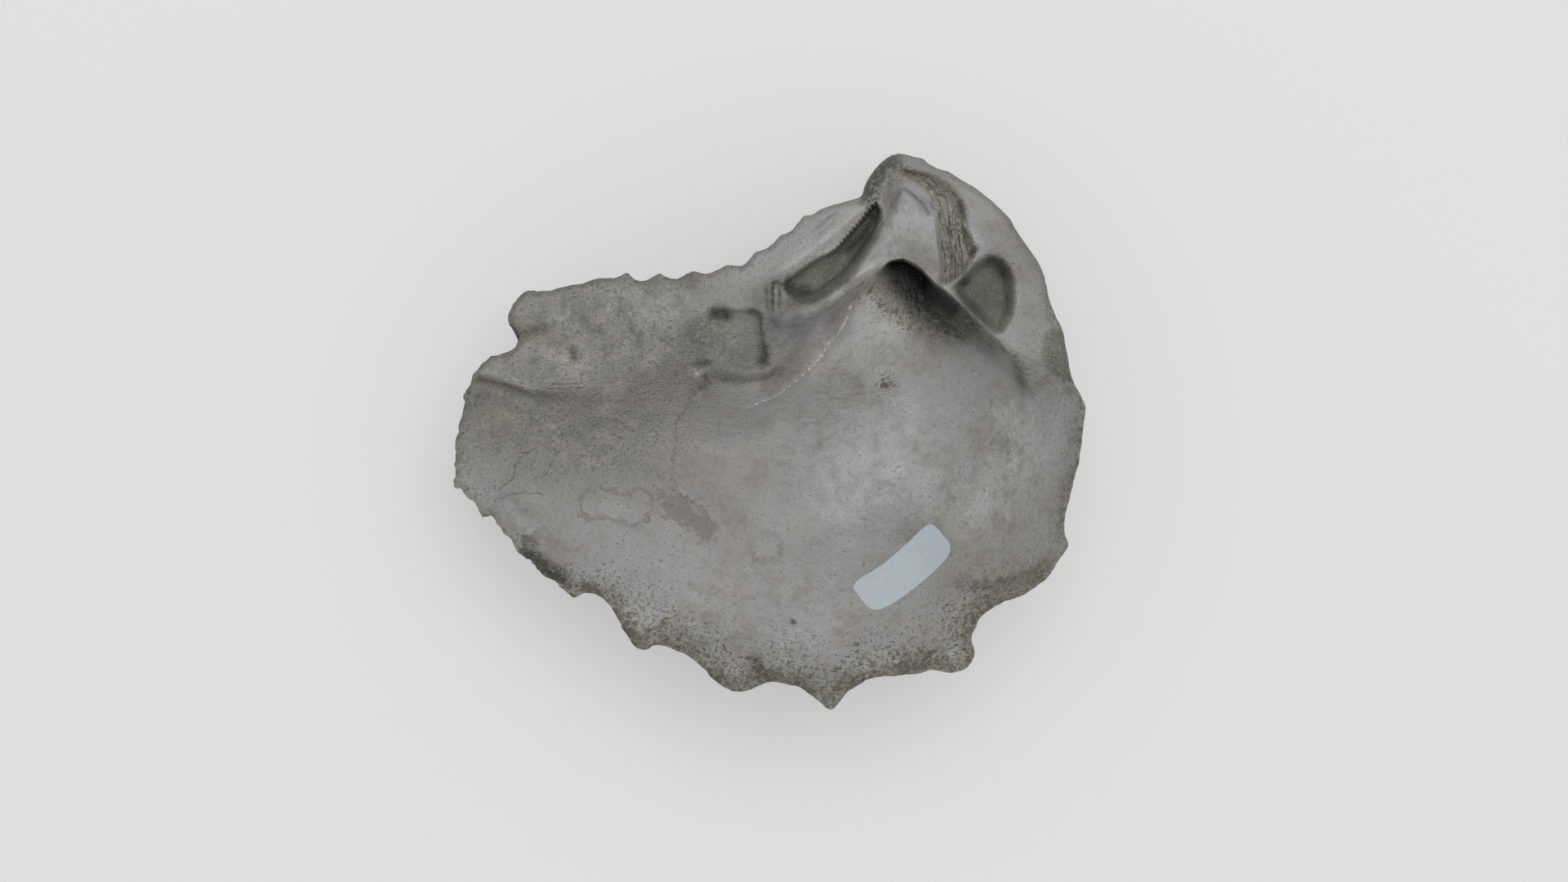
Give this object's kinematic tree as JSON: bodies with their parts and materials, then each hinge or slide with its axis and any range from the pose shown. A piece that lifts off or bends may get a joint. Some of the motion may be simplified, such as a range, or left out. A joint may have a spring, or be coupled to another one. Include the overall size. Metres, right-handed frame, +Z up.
{
  "type": "fossil bivalve shell valve",
  "caption": "Left valve of a fossil trigoniid clam lying hollow side up: a thin bowl with a knobbly ribbed back, a pointed beak, a big hinge tooth between two sockets and pitted muscle scars.",
  "frame": {"origin": "on the ground under the middle of the valve's bounding box, as it lies on its ribbed back", "axes": "+Z up out of the hollow, +X from the drawn-out hind end towards the rounded front, +Y from the belly edge towards the beak"},
  "size_m": [0.0722, 0.0641, 0.0238],
  "materials": {
    "fossil_shell": "dry chalky fossil shell, warm grey with darker silt in the pits, matte with a faint satin on the worn hinge"
  },
  "bodies": {
    "root": {"left_valve": "fossil_shell"}
  },
  "joints": []
}
